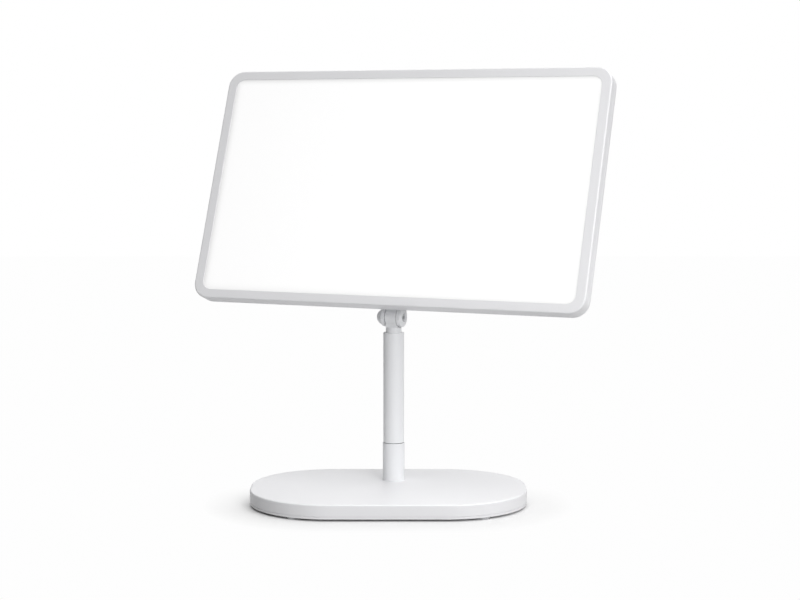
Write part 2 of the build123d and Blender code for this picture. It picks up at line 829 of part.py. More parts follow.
def cap_nut():
    # Dome with a boss that drops into the left ear's recess
    curve = (cap_nut_radius ** 2 + cap_nut_dome ** 2) / (2 * cap_nut_dome)
    ball = Pos(-ear_outside - cap_nut_dome + curve, 0, 0) * Sphere(curve)
    dome = ball & rod_x(curve, -ear_outside - cap_nut_dome - past, -ear_outside)
    boss = rod_x(pivot_head_radius, -ear_outside, -ear_outside + pivot_recess_depth)
    return dome + boss - rod_x(pivot_radius, -ear_outside, 0)


# Control housing

def housing_screw_spots():
    reach_x = housing_width / 2 - housing_boss_inset
    reach_z = housing_height / 2 - housing_boss_inset
    return [(sx * reach_x, housing_middle + sz * reach_z) for sx in (-1, 1) for sz in (-1, 1)]


def board_screw_spots():
    reach_x = board_width / 2 - board_screw_inset
    reach_z = board_height / 2 - board_screw_inset
    return [(sx * reach_x, housing_middle + sz * reach_z) for sx in (-1, 1) for sz in (-1, 1)]


def control_housing():
    outline = RectangleRounded(housing_width, housing_height, housing_corner)
    body = slab(outline, back_y, housing_y, housing_middle)
    body = fillet(back_edges(body), housing_edge)
    inner = RectangleRounded(housing_width - 2 * housing_wall, housing_height - 2 * housing_wall,
                             housing_corner - housing_wall)
    body -= slab(inner, back_y - past, housing_inner_y, housing_middle)
    for x, z in housing_screw_spots():
        body += rod_y(housing_boss_radius, back_y, housing_inner_y, x, z)
    for x, z in housing_screw_spots():
        body -= rod_y(housing_screw_radius + fit_gap, back_y - past, housing_y + past, x, z)
        body -= rod_y(housing_screw_head_radius + fit_gap, housing_screw_seat, housing_y + past, x, z)
    for x in button_places.values():
        body -= rod_y(button_radius + button_gap, housing_inner_y - past, housing_y + past, x, button_height)
    inlet = disc(inlet_radius, housing_bottom - past, housing_bottom + housing_wall + past,
                 jack_reach_x, jack_axis_y)
    return body - inlet


def housing_screws():
    return group([pan_screw(housing_screw_radius, housing_screw_length, housing_screw_head_radius,
                            housing_screw_head_height, housing_screw_seat, x, z)
                  for x, z in housing_screw_spots()])


def driver_board():
    outline = RectangleRounded(board_width, board_height, board_corner)
    body = slab(outline, board_y, board_back_y, housing_middle)
    for x, z in board_screw_spots():
        body -= rod_y(board_screw_radius + fit_gap, board_y - past, board_back_y + past, x, z)
    return body


def board_screws():
    return group([pan_screw(board_screw_radius, board_screw_length, board_screw_head_radius,
                            board_screw_head_height, board_back_y, x, z) for x, z in board_screw_spots()])


def tact_switches():
    half = switch_size / 2
    low, high = button_height - half, button_height + half
    well_floor = switch_top_y - button_stem_entry - button_travel - seat_gap
    bodies = []
    for x in button_places.values():
        body = block(x - half, x + half, board_back_y, switch_top_y, low, high)
        body -= rod_y(switch_well_radius, well_floor, switch_top_y + past, x, button_height)
        bodies.append(body)
    return group(bodies)


def push_button(x):
    flange_back = housing_inner_y - fit_gap
    flange_front = flange_back - button_flange_thickness
    top = housing_y + button_proud
    cap = rod_y(button_radius, flange_front, top)
    cap = fillet(back_edges(cap), button_edge)
    curve = (button_radius ** 2 + button_dish ** 2) / (2 * button_dish)
    cap -= Pos(0, top - button_dish + curve, 0) * Sphere(curve)
    body = cap + rod_y(button_radius + button_flange, flange_front, flange_back)
    body += rod_y(button_stem_radius, switch_top_y - button_stem_entry, flange_front)
    return Pos(x, 0, button_height) * body


def dc_jack():
    low = housing_bottom + housing_wall + fit_gap
    half = jack_width / 2
    body = block(jack_reach_x - half, jack_reach_x + half, board_back_y, board_back_y + jack_height,
                 low, low + jack_length)
    body -= disc(jack_bore_radius, low - past, low + jack_bore_depth, jack_reach_x, jack_axis_y)
    pin = disc(jack_pin_radius, low + jack_pin_recess, low + jack_bore_depth, jack_reach_x, jack_axis_y)
    return body + pin


def driver_parts():
    low = component_height
    coil = rod_y(coil_radius, board_back_y, board_back_y + coil_height, coil_x, low)
    capacitor = rod_y(capacitor_radius, board_back_y, board_back_y + capacitor_height, capacitor_x, low)
    chip = block(chip_x - chip_width / 2, chip_x + chip_width / 2, board_back_y, board_back_y + chip_height,
                 low - chip_depth / 2, low + chip_depth / 2)
    sockets = []
    for side in (-1, 1):
        end = side * board_width / 2
        start = end - side * socket_width
        sockets.append(block(min(end, start), max(end, start), board_back_y, board_back_y + socket_height,
                             lead_height - socket_depth / 2, lead_height + socket_depth / 2))
    return group([coil, capacitor, chip] + sockets)


def lead_points(side):
    # From a socket on the driver board, through the back cover, along the case to the LED board
    socket_y = board_back_y + socket_height / 2
    channel_y = (spreader_back_y + inner_back_y) / 2
    hole = lead_hole_x
    end_x = led_face_x - lead_radius
    rows = [
        (board_width / 2, socket_y, 0),
        (hole, socket_y, 0),
        (hole, channel_y, 0),
        (hole + lead_stretch, channel_y, lead_sway),
        (hole + 2 * lead_stretch, channel_y, -lead_sway),
        (end_x - lead_end_run, channel_y, 0),
        (end_x, channel_y, 0),
        (end_x, guide_y + led_board_height, 0),
    ]
    return [(side * x, y, lead_height + z) for x, y, z in rows]


def corner_radii(points):
    # Each bend takes its share of the shorter run, over the tangent of half the turn
    radii = []
    for before, here, after in zip(points, points[1:], points[2:]):
        arrive = Vector(*here) - Vector(*before)
        leave = Vector(*after) - Vector(*here)
        half_turn = arrive.get_angle(leave) / 2
        shorter = min(arrive.length, leave.length)
        radii.append(bend_share * shorter / tan(radians(half_turn)))
    return radii


def led_leads():
    leads = []
    for side in (-1, 1):
        points = lead_points(side)
        path = FilletPolyline(*points, radius=corner_radii(points))
        section = Plane(origin=path @ 0, z_dir=path % 0) * Circle(lead_radius)
        leads.append(sweep(section, path))
    return group(leads)


base_parts = {
    "base_cover": base_cover(),
    "base_weight": base_weight(),
    "bottom_plate": bottom_plate(),
    "feet": feet(),
    "centre_foot": centre_foot(),
    "base_screws": base_screws(),
    "post_sleeve": post_sleeve(),
    "post_bolt": post_bolt(),
    "post_washer": post_washer(),
    "swivel_bush": swivel_bush(),
    "swivel_grub_screw": swivel_grub_screw(),
    "thrust_washer": thrust_washer(),
}
mast_parts = {
    "swivel_spigot": swivel_spigot(),
    "mast_tube": mast_tube(),
    "guide_bush": guide_bush(),
    "guide_screw": guide_screw(),
}
riser_parts = {
    "riser_rod": riser_rod(),
    "rod_foot": rod_foot(),
    "knuckle": knuckle(),
    "hinge_washers": hinge_washers(),
}
panel_parts = {
    "front_frame": front_frame(),
    "diffuser": diffuser(),
    "light_guide": light_guide(),
    "reflector_sheet": reflector_sheet(),
    "heat_spreader": heat_spreader(),
    "led_boards": led_boards(),
    "leds": leds(),
    "back_cover": back_cover(),
    "case_screws": case_screws(),
    "stiffener_plate": stiffener_plate(),
    "tilt_bracket": tilt_bracket(),
    "bracket_screws": bracket_screws(),
    "pivot_bolt": pivot_bolt(),
    "cap_nut": cap_nut(),
    "control_housing": control_housing(),
    "housing_screws": housing_screws(),
    "driver_board": driver_board(),
    "board_screws": board_screws(),
    "tact_switches": tact_switches(),
    "dc_jack": dc_jack(),
    "driver_parts": driver_parts(),
    "led_leads": led_leads(),
}
for button, button_x in button_places.items():
    panel_parts[button] = push_button(button_x)

for name, part in (base_parts | mast_parts | riser_parts).items():
    save(part, name)
for name, part in panel_parts.items():
    save(panel_place * part, name)
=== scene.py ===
import json
import math
import bmesh
import bpy
import numpy as np
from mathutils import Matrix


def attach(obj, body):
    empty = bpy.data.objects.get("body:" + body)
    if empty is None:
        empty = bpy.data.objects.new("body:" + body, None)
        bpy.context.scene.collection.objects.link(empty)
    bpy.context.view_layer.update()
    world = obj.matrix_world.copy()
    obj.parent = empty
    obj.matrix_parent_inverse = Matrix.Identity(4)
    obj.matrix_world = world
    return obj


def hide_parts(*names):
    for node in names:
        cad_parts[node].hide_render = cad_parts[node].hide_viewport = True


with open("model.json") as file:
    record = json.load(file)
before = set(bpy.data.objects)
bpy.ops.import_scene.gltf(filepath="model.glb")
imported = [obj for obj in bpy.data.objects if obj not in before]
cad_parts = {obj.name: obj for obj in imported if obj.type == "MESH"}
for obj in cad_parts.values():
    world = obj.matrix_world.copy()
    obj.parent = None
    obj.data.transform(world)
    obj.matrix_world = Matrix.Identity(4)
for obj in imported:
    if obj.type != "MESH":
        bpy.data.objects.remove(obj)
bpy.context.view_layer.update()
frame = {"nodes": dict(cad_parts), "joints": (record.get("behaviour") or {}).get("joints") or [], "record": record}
mm = 0.001               # shapes are worked out in millimetres and stored in metres
weldMm = 0.0005          # points of a new mesh that lie closer than this become one

# Frames: the base stands in the row's own frame. The panel has its own, with its origin on the
# tilt hinge, X along the hinge, Y backwards and Z up the panel.
joints = {joint["name"]: joint for joint in frame["joints"]}
acrossPanel = np.array(joints["tilt"]["axis"])
throughPanel = -np.array(joints["power_press"]["axis"])
upPanel = np.cross(acrossPanel, throughPanel)
rowPlace = {"origin": np.zeros(3), "axes": np.eye(3)}
panelPlace = {"origin": np.array(joints["tilt"]["pos_m"]), "axes": np.stack([acrossPanel, throughPanel, upPanel])}


def toPlace(points, place):
    # metres in the row's frame to millimetres in the given one: take off the origin, project on each axis
    return (points - place["origin"]) @ place["axes"].T / mm


def fromPlace(points, place):
    # the way back: the axes weighted by the three millimetre values, plus the origin
    return points * mm @ place["axes"] + place["origin"]


def nodeBox(name, place):
    # lowest and highest corner of a CAD node in the given frame, in millimetres
    mesh = frame["nodes"][name].data
    points = np.zeros(len(mesh.vertices) * 3)
    mesh.vertices.foreach_get("co", points)
    local = toPlace(points.reshape(-1, 3), place)
    return local.min(0), local.max(0)


# Mesh helpers

def softProfile(corners, radii, steps, hold):
    # a closed polyline whose corners are arcs tangent to both sides: tangent length is the radius over
    # the tangent of half the corner. A point at hold past each arc keeps the flat beside it flat.
    corners = np.array(corners, float)
    rows = []
    for before, here, after, radius in zip(np.roll(corners, 1, 0), corners, np.roll(corners, -1, 0), radii):
        arrive = (before - here) / np.linalg.norm(before - here)
        leave = (after - here) / np.linalg.norm(after - here)
        half = math.acos(np.clip(arrive @ leave, -1, 1)) / 2
        tangent = radius / math.tan(half)
        middle = here + (arrive + leave) / np.linalg.norm(arrive + leave) * radius / math.sin(half)
        first, last = here + arrive * tangent - middle, here + leave * tangent - middle
        turn = math.pi - 2 * half
        share = np.linspace(0, 1, steps)[:, None]
        arc = middle + (np.sin((1 - share) * turn) * first + np.sin(share * turn) * last) / math.sin(turn)
        rows += [here + arrive * (tangent + hold), arc, here + leave * (tangent + hold)]
    return np.vstack(rows)


def roundedOutline(halfWidth, halfHeight, radius, steps):
    # rounded rectangle, one row for each entry of the arrays: the centre of each corner plus its radius
    # times cosine and sine of an angle that runs through a quarter turn
    angle = (np.arange(4)[:, None] + np.linspace(0, 1, steps)[None, :]).ravel() * math.pi / 2
    quarter = np.repeat(np.arange(4), steps)
    signX = np.where((quarter == 0) | (quarter == 3), 1.0, -1.0)
    signZ = np.where(quarter < 2, 1.0, -1.0)
    width, height, bend = (np.asarray(value, float).reshape(-1, 1) for value in (halfWidth, halfHeight, radius))
    return (signX * (width - bend) + bend * np.cos(angle),
            signZ * (height - bend) + bend * np.sin(angle))


def gridFaces(rows, around, closeRows):
    # each quad joins a point to its neighbour round the outline, in its own row and the next
    row = np.arange(rows if closeRows else rows - 1)[:, None] * around
    column = np.arange(around)[None, :]
    beside = (column + 1) % around
    above = (row + around) % (rows * around)
    return np.stack([row + column, row + beside, above + beside, above + column], -1).reshape(-1, 4)


def makePiece(name, grid, place, closeRows=False, capStart=False, capEnd=False):
    # grid has one row of points for each step of the profile. Caps fan out from the middle of an end row.
    rows, around, _ = grid.shape
    points = grid.reshape(-1, 3)
    faces = gridFaces(rows, around, closeRows).tolist()
    for wanted, row in ((capStart, 0), (capEnd, rows - 1)):
        if wanted:
            points = np.vstack([points, grid[row].mean(0)])
            here = row * around + np.arange(around)
            pole = np.full(around, len(points) - 1)
            faces += np.stack([here, np.roll(here, -1), pole], -1).tolist()
    mesh = bpy.data.meshes.new(name)
    mesh.from_pydata(fromPlace(points, place).tolist(), [], faces)
    work = bmesh.new()
    work.from_mesh(mesh)
    bmesh.ops.remove_doubles(work, verts=work.verts, dist=weldMm * mm)
    bmesh.ops.recalc_face_normals(work, faces=work.faces)
    work.to_mesh(mesh)
    work.free()
    mesh.shade_smooth()
    piece = bpy.data.objects.new(name, mesh)
    bpy.context.scene.collection.objects.link(piece)
    return piece


def finish(piece, body, slot, material, *replaced):
    # a new piece takes its material, rides on its body and stands for the CAD nodes that it replaces; its slot is
    # not used
    piece.data.materials.append(material)
    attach(piece, body)
    if replaced:
        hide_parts(*replaced)
    return piece


# Material helpers. The noises' detail is in octaves: more of them add finer grain.

noise = {"grainDetail": 3.0, "grainRoughness": 0.6, "driftDetail": 2.0, "lineDetail": 4.0, "windowDetail": 2.0}


def toLinear(colour):
    # sRGB hex to linear: up to 0.04045 divided by 12.92, above it ((c + 0.055) / 1.055) to the power 2.4
    channels = np.array([int(colour[i:i + 2], 16) for i in (0, 2, 4)]) / 255
    linear = np.where(channels <= 0.04045, channels / 12.92, ((channels + 0.055) / 1.055) ** 2.4)
    return (*linear.tolist(), 1.0)


def addNode(tree, kind, settings=None, inputs=None):
    # settings are the node's properties. Each input is a value, or the output that feeds it.
    node = tree.nodes.new("ShaderNode" + kind)
    for key, value in (settings or {}).items():
        setattr(node, key, value)
    for key, value in (inputs or {}).items():
        if isinstance(value, bpy.types.NodeSocket):
            tree.links.new(value, node.inputs[key])
        else:
            node.inputs[key].default_value = value
    return node


def newMaterial(name):
    # a material with an empty node tree
    material = bpy.data.materials.new(name)
    material.use_nodes = True
    material.node_tree.nodes.clear()
    return material, material.node_tree


def grainedSurface(name, values):
    # Shared by the plastics, the rubber and the coated metals: a fine noise gives the grain's height, and a
    # broad one drifts the tone and the roughness a little, as moulding and spraying do
    material, tree = newMaterial(name)
    place = addNode(tree, "TexCoord").outputs["Object"]
    grain = addNode(tree, "TexNoise", None,
                    {"Vector": place, "Scale": 1 / (values["grainMm"] * mm),
                     "Detail": noise["grainDetail"], "Roughness": noise["grainRoughness"]})
    drift = addNode(tree, "TexNoise", None,
                    {"Vector": place, "Scale": 1 / (values["driftMm"] * mm), "Detail": noise["driftDetail"]})
    tone = addNode(tree, "Mix", {"data_type": "RGBA"},
                   {0: drift.outputs["Fac"], 6: toLinear(values["colour"]), 7: toLinear(values["lighter"])})
    rough = addNode(tree, "MapRange", None,
                    {"Value": drift.outputs["Fac"], "To Min": values["roughness"] - values["swing"],
                     "To Max": values["roughness"] + values["swing"]})
    bump = addNode(tree, "Bump", None,
                   {"Height": grain.outputs["Fac"], "Distance": values["heightMm"] * mm, "Strength": 1.0})
    shader = addNode(tree, "BsdfPrincipled", None,
                     {"Base Color": tone.outputs[2], "Roughness": rough.outputs["Result"],
                      "Normal": bump.outputs["Normal"], "IOR": values["ior"]})
    addNode(tree, "OutputMaterial", None, {"Surface": shader.outputs["BSDF"]})
    return material


# Satin ABS, injection moulded in a spark-eroded tool: an even, soft sheen. The real grain is about
# 0.1 mm, too fine to show, so it is drawn at 1.1 mm.
satinAbs = {"colour": "efeff1", "lighter": "f2f2f4", "roughness": 0.42, "swing": 0.03,
            "grainMm": 1.1, "heightMm": 0.006, "driftMm": 40.0, "ior": 1.53}
# Powder coat, sprayed and baked on steel: smooth, with a shallow orange peel of about 2 mm
coat = {"colour": "edeef0", "lighter": "f1f2f4", "roughness": 0.34, "swing": 0.04,
        "grainMm": 2.0, "heightMm": 0.010, "driftMm": 30.0, "ior": 1.5}
# Grey primed steel plate: a dull, slightly uneven dipped coat
primer = {"colour": "3a3c3e", "lighter": "45474a", "roughness": 0.6, "swing": 0.06,
          "grainMm": 1.5, "heightMm": 0.02, "driftMm": 25.0, "ior": 1.5}
# Compression moulded rubber: matt, with a fine bloom
rubber = {"colour": "c9cacc", "lighter": "d2d3d5", "roughness": 0.8, "swing": 0.05,
          "grainMm": 0.8, "heightMm": 0.012, "driftMm": 12.0, "ior": 1.52}
# Turned acetal: waxy and close to white
acetal = {"colour": "e4e4e0", "lighter": "ebebe7", "roughness": 0.38, "swing": 0.05,
          "grainMm": 0.6, "heightMm": 0.004, "driftMm": 10.0, "ior": 1.48}
# Black turned acetal for the thrust washer: its black is painted shade, standing in for the shadow in the swivel's
# seam, where it shows as a dark line
seamShadeAcetal = {"colour": "1a1b1d", "lighter": "222326", "roughness": 0.5, "swing": 0.05,
              "grainMm": 0.6, "heightMm": 0.004, "driftMm": 10.0, "ior": 1.48}
# Grey moulded ABS of the buttons: a shade darker than the housing, with the same grain
buttonAbs = {"colour": "d3d5d9", "lighter": "d9dbdf", "roughness": 0.45, "swing": 0.03,
             "grainMm": 0.9, "heightMm": 0.006, "driftMm": 15.0, "ior": 1.53}
# Black moulded nylon of switches, sockets and the jack
nylon = {"colour": "1d1e20", "lighter": "26272a", "roughness": 0.5, "swing": 0.06,
         "grainMm": 0.5, "heightMm": 0.006, "driftMm": 8.0, "ior": 1.53}
# Soft PVC of the leads' sleeves: slightly glossy, extruded
leadPvc = {"colour": "dcdcdc", "lighter": "e6e6e6", "roughness": 0.4, "swing": 0.05,
           "grainMm": 1.5, "heightMm": 0.005, "driftMm": 10.0, "ior": 1.53}
# White solder mask on glass laminate: the weave prints through as a faint ripple
laminate = {"colour": "e2e6e1", "lighter": "eaeee9", "roughness": 0.35, "swing": 0.05,
            "grainMm": 0.7, "heightMm": 0.004, "driftMm": 12.0, "ior": 1.55}
# Foamed white polyester film behind the light guide
film = {"colour": "f4f4f4", "lighter": "f8f8f8", "roughness": 0.55, "swing": 0.04,
        "grainMm": 1.0, "heightMm": 0.004, "driftMm": 30.0, "ior": 1.57}
# Phosphor filled silicone on the LEDs
phosphor = {"colour": "f0d264", "lighter": "f4da78", "roughness": 0.3, "swing": 0.03,
            "grainMm": 0.3, "heightMm": 0.004, "driftMm": 3.0, "ior": 1.41}


def platedSteel(name, values):
    # Shared by the turned screws and the rolled sheet. Nickel plated steel, turned: rings left by the tool
    # stretch the highlight. Noise squeezed from front to back, as most screws point, gives the rings, and
    # noise drawn out that way gives the sheet's streaks.
    material, tree = newMaterial(name)
    place = addNode(tree, "TexCoord").outputs["Object"]
    squeeze = addNode(tree, "Mapping", None, {"Vector": place, "Scale": (1.0, values["stretch"], 1.0)})
    lines = addNode(tree, "TexNoise", None,
                    {"Vector": squeeze.outputs["Vector"], "Scale": 1 / (values["lineMm"] * mm),
                     "Detail": noise["lineDetail"]})
    rough = addNode(tree, "MapRange", None,
                    {"Value": lines.outputs["Fac"], "To Min": values["roughness"] - values["swing"],
                     "To Max": values["roughness"] + values["swing"]})
    bump = addNode(tree, "Bump", None,
                   {"Height": lines.outputs["Fac"], "Distance": values["heightMm"] * mm, "Strength": 1.0})
    shader = addNode(tree, "BsdfPrincipled", None,
                     {"Base Color": toLinear(values["colour"]), "Metallic": 1.0,
                      "Roughness": rough.outputs["Result"], "Normal": bump.outputs["Normal"]})
    addNode(tree, "OutputMaterial", None, {"Surface": shader.outputs["BSDF"]})
    return material


nickel = {"colour": "bfc0c2", "roughness": 0.28, "swing": 0.08, "lineMm": 0.8, "stretch": 6.0, "heightMm": 0.004}
rolled = {"colour": "d6d7d8", "roughness": 0.4, "swing": 0.08, "lineMm": 1.5, "stretch": 0.1, "heightMm": 0.004}


def clearAcrylic(name, values):
    # Clear polished acrylic with a printed dot pattern that lets the light out
    material, tree = newMaterial(name)
    place = addNode(tree, "TexCoord").outputs["Object"]
    dots = addNode(tree, "TexVoronoi", None, {"Vector": place, "Scale": 1 / (values["dotMm"] * mm)})
    rough = addNode(tree, "MapRange", None,
                    {"Value": dots.outputs["Distance"], "From Max": values["dotShare"],
                     "To Min": values["printed"], "To Max": values["polished"]})
    shader = addNode(tree, "BsdfPrincipled", None,
                     {"Base Color": toLinear(values["colour"]), "Transmission Weight": 1.0,
                      "IOR": values["ior"], "Roughness": rough.outputs["Result"]})
    addNode(tree, "OutputMaterial", None, {"Surface": shader.outputs["BSDF"]})
    return material


acrylic = {"colour": "f4f8f9", "ior": 1.49, "dotMm": 1.5, "dotShare": 0.3, "printed": 0.6, "polished": 0.08}

materials = {
    "shell": grainedSurface("satin_abs_moulded", satinAbs),
    "post_paint": grainedSurface("powder_coat_white", coat),
    "weight_steel": grainedSurface("primed_steel_plate", primer),
    "screw_steel": platedSteel("nickel_plated_steel", nickel),
    "foot_rubber": grainedSurface("grey_rubber_moulded", rubber),
    "bush_plastic": grainedSurface("acetal_turned", acetal),
    "guide_acrylic": clearAcrylic("clear_acrylic_printed", acrylic),
    "reflector_film": grainedSurface("foamed_polyester_film", film),
    "spreader_aluminium": platedSteel("aluminium_sheet_rolled", rolled),
    "board_laminate": grainedSurface("solder_mask_white", laminate),
    "led_phosphor": grainedSurface("silicone_phosphor", phosphor),
    "switch_plastic": grainedSurface("black_nylon_moulded", nylon),
    "lead_pvc": grainedSurface("pvc_sleeve_extruded", leadPvc),
    "button_plastic": grainedSurface("grey_abs_moulded", buttonAbs),
}
for part in frame["record"]["subparts"]:
    if part["material_slot"] in materials:
        for slot in frame["nodes"][part["node"]].material_slots:
            slot.material = materials[part["material_slot"]]
# the thrust washer is made black as painted shade for the swivel's seam
for slot in frame["nodes"]["thrust_washer"].material_slots:
    slot.material = grainedSurface("acetal_black_seam_shade", seamShadeAcetal)
print("materials ready")


# Lit window: an opal sheet that glows from behind, weaker beside the bezel. Each side has the width of its
# fade and the part of the glow that its edge keeps. The holds are rows of points that keep the flats flat.
window = {"glow": 0.62, "colour": "bababa", "roughness": 0.5, "ior": 1.49, "grainMm": 1.6, "heightMm": 0.004,
          "left": (8.0, 0.65), "right": (10.0, 0.78), "bottom": (7.0, 0.84), "top": (6.0, 0.56),
          "proud": 0.35, "gap": 0.02, "rim": 0.25, "rimSteps": 6, "chamfer": 0.3, "backHold": 4.0,
          "frontHolds": [3.0, 6.0]}
# Bezel: widths at the sides and at the ends, the corners' radii outside and at the window, and its edges
bezel = {"side": 9.2, "end": 8.6, "corner": 15.0, "windowCorner": 8.5, "lip": 1.8, "wall": 2.2,
         "seamRadius": 0.3, "frontRadius": 1.3, "lipRadius": 0.4, "innerRadii": [0.2, 0.4, 0.2],
         "steps": 20, "arcSteps": 8, "hold": 0.3}


def litOpal(name, values, size):
    # Opal acrylic, cast: UV holds the window's width and height as 0 to 1. Away from each side the glow is
    # 1 less what the edge lacks times the square of the part of the fade's width that is left. The four
    # are multiplied.
    material, tree = newMaterial(name)
    place = addNode(tree, "TexCoord")
    across = addNode(tree, "SeparateXYZ", None, {"Vector": place.outputs["UV"]})
    glow = values["glow"]
    for side, axis, length, start, way in (("left", "X", size[0], 0, 1), ("right", "X", size[0], 1, -1),
                                           ("bottom", "Y", size[1], 0, 1), ("top", "Y", size[1], 1, -1)):
        fade, edge = values[side]
        left = addNode(tree, "MapRange", None,
                       {"Value": across.outputs[axis], "From Min": start, "From Max": start + way * fade / length,
                        "To Min": 1.0, "To Max": 0.0})
        left = addNode(tree, "Math", {"operation": "POWER"}, {0: left.outputs["Result"], 1: 2.0})
        rise = addNode(tree, "Math", {"operation": "MULTIPLY_ADD"}, {0: left.outputs[0], 1: edge - 1, 2: 1.0})
        glow = addNode(tree, "Math", {"operation": "MULTIPLY"}, {0: glow, 1: rise.outputs[0]}).outputs[0]
    grain = addNode(tree, "TexNoise", None,
                    {"Vector": place.outputs["Object"], "Scale": 1 / (values["grainMm"] * mm),
                     "Detail": noise["windowDetail"]})
    bump = addNode(tree, "Bump", None,
                   {"Height": grain.outputs["Fac"], "Distance": values["heightMm"] * mm, "Strength": 1.0})
    shader = addNode(tree, "BsdfPrincipled", None,
                     {"Base Color": toLinear(values["colour"]), "Roughness": values["roughness"],
                      "IOR": values["ior"], "Emission Color": (1.0, 1.0, 1.0, 1.0), "Emission Strength": glow,
                      "Normal": bump.outputs["Normal"]})
    addNode(tree, "OutputMaterial", None, {"Surface": shader.outputs["BSDF"]})
    return material


def bezelFrame():
    # Frame round the window: a closed profile of inset and depth, carried round a rounded rectangle whose
    # size and corner change evenly from the outer edge to the window's edge
    low, high = nodeBox("front_frame", panelPlace)
    front, seam = low[1], high[1]
    inner = front + bezel["lip"]
    halfWidth, halfHeight = (high[0] - low[0]) / 2, (high[2] - low[2]) / 2
    middle = (high[2] + low[2]) / 2
    corners = [(0, seam), (0, front), (bezel["side"], front), (bezel["side"], inner),
               (bezel["wall"], inner), (bezel["wall"], seam)]
    radii = [bezel["seamRadius"], bezel["frontRadius"], bezel["lipRadius"], *bezel["innerRadii"]]
    profile = softProfile(corners, radii, bezel["arcSteps"], bezel["hold"])
    inset, depth = profile[:, 0], profile[:, 1]
    share = inset / bezel["side"]
    radius = bezel["corner"] + (bezel["windowCorner"] - bezel["corner"]) * share
    x, z = roundedOutline(halfWidth - inset, halfHeight - share * bezel["end"], radius, bezel["steps"])
    grid = np.stack([x, depth[:, None] + 0 * x, middle + z], -1)
    piece = makePiece("bezel_frame", grid, panelPlace, closeRows=True)
    return finish(piece, "panel", "shell", materials["shell"], "front_frame")


def opalWindow():
    # Sheet behind the bezel with a step that fills the window and stands further out by proud. Rows of inset,
    # depth and share run from the sheet's back to its front, then in to the step and over its soft rim. Share
    # is 0 on the sheet's outline and 1 on the step's, and picks their insets and corners. UV runs 0 to 1
    # across the window.
    outer = nodeBox("front_frame", panelPlace)
    low, high = nodeBox("diffuser", panelPlace)
    low[1] -= window["proud"]
    halfWidth, halfHeight = (outer[1][0] - outer[0][0]) / 2, (outer[1][2] - outer[0][2]) / 2
    size = (2 * (halfWidth - bezel["side"]), 2 * (halfHeight - bezel["end"]))
    middle = (outer[1][2] + outer[0][2]) / 2
    sheetFront = outer[0][1] + bezel["lip"]
    edge = halfWidth - (high[0] - low[0]) / 2
    rim, gap, chamfer = window["rim"], window["gap"], window["chamfer"]
    turn = np.linspace(0, math.pi / 2, window["rimSteps"])
    inset = np.concatenate([[window["backHold"], chamfer, 0, 0, chamfer, 0, 0], rim * (1 - np.cos(turn)),
                            window["frontHolds"]])
    depth = np.concatenate([[high[1], high[1], high[1] - chamfer, sheetFront + chamfer, sheetFront, sheetFront],
                            [low[1] + rim], low[1] + rim * (1 - np.sin(turn)), [low[1], low[1]]])
    sheetRows = 5            # the first rows lie on the sheet's outline
    share = np.concatenate([np.zeros(sheetRows), np.ones(len(inset) - sheetRows)])
    across = edge + (bezel["side"] + gap - edge) * share + inset
    along = edge + (bezel["end"] + gap - edge) * share + inset
    corner = bezel["corner"] - edge + (bezel["windowCorner"] - gap - bezel["corner"] + edge) * share - inset
    x, z = roundedOutline(halfWidth - across, halfHeight - along, corner, bezel["steps"])
    grid = np.stack([x, depth[:, None] + 0 * x, middle + z], -1)
    piece = makePiece("opal_window", grid, panelPlace, capStart=True, capEnd=True)
    mesh = piece.data
    corners = np.zeros(len(mesh.loops), int)
    mesh.loops.foreach_get("vertex_index", corners)
    points = np.zeros(len(mesh.vertices) * 3)
    mesh.vertices.foreach_get("co", points)
    local = toPlace(points.reshape(-1, 3), panelPlace)[corners]
    uv = np.stack([local[:, 0] / size[0] + 0.5, (local[:, 2] - middle) / size[1] + 0.5], -1)
    mesh.uv_layers.new(name="window").data.foreach_set("uv", uv.ravel().astype(np.float32))
    return finish(piece, "panel", "diffuser_acrylic", litOpal("opal_acrylic_lit", window, size), "diffuser")


bezelFrame()
opalWindow()
print("panel front ready")


# Base: a flat rounded slab, its ends almost half round, with a soft upper edge. The flats are capped from
# capShare of the half depth inwards.
base = {"endFlat": 16.0, "wall": 2.5, "edgeRadius": 1.3, "seamRadius": 0.6, "footRadius": 0.3,
        "ceilingRadius": 0.5, "capShare": 0.7, "capRadius": 0.1, "steps": 48, "arcSteps": 8, "hold": 0.4}


def baseShell():
    # Rows go down the outside from the middle of the top, round the soft edge and the seam's edge, and
    # back up the inside of the wall. The corners' radius leaves endFlat straight in each short end.
    low, high = nodeBox("base_cover", rowPlace)
    bottom, top = low[2], high[2]
    halfWidth, halfDepth = (high[0] - low[0]) / 2, (high[1] - low[1]) / 2
    middleX, middleY = (high[0] + low[0]) / 2, (high[1] + low[1]) / 2
    under = top - base["wall"]
    cap = halfDepth * base["capShare"]
    corners = [(cap, top), (0, top), (0, bottom), (base["wall"], bottom), (base["wall"], under), (cap, under)]
    radii = [base["capRadius"], base["edgeRadius"], base["seamRadius"], base["footRadius"], base["ceilingRadius"],
             base["capRadius"]]
    profile = softProfile(corners, radii, base["arcSteps"], base["hold"])
    spare = base["arcSteps"] + 1        # rows of the end corners that lie past the caps' edges
    profile = profile[spare:-spare]
    inset, height = profile[:, 0], profile[:, 1]
    radius = halfDepth - base["endFlat"] / 2 - inset
    x, y = roundedOutline(halfWidth - inset, halfDepth - inset, radius, base["steps"])
    grid = np.stack([middleX + x, middleY + y, height[:, None] + 0 * x], -1)
    piece = makePiece("base_shell", grid, rowPlace, capStart=True, capEnd=True)
    return finish(piece, "base", "shell", materials["shell"], "base_cover")


baseShell()
print("base ready")


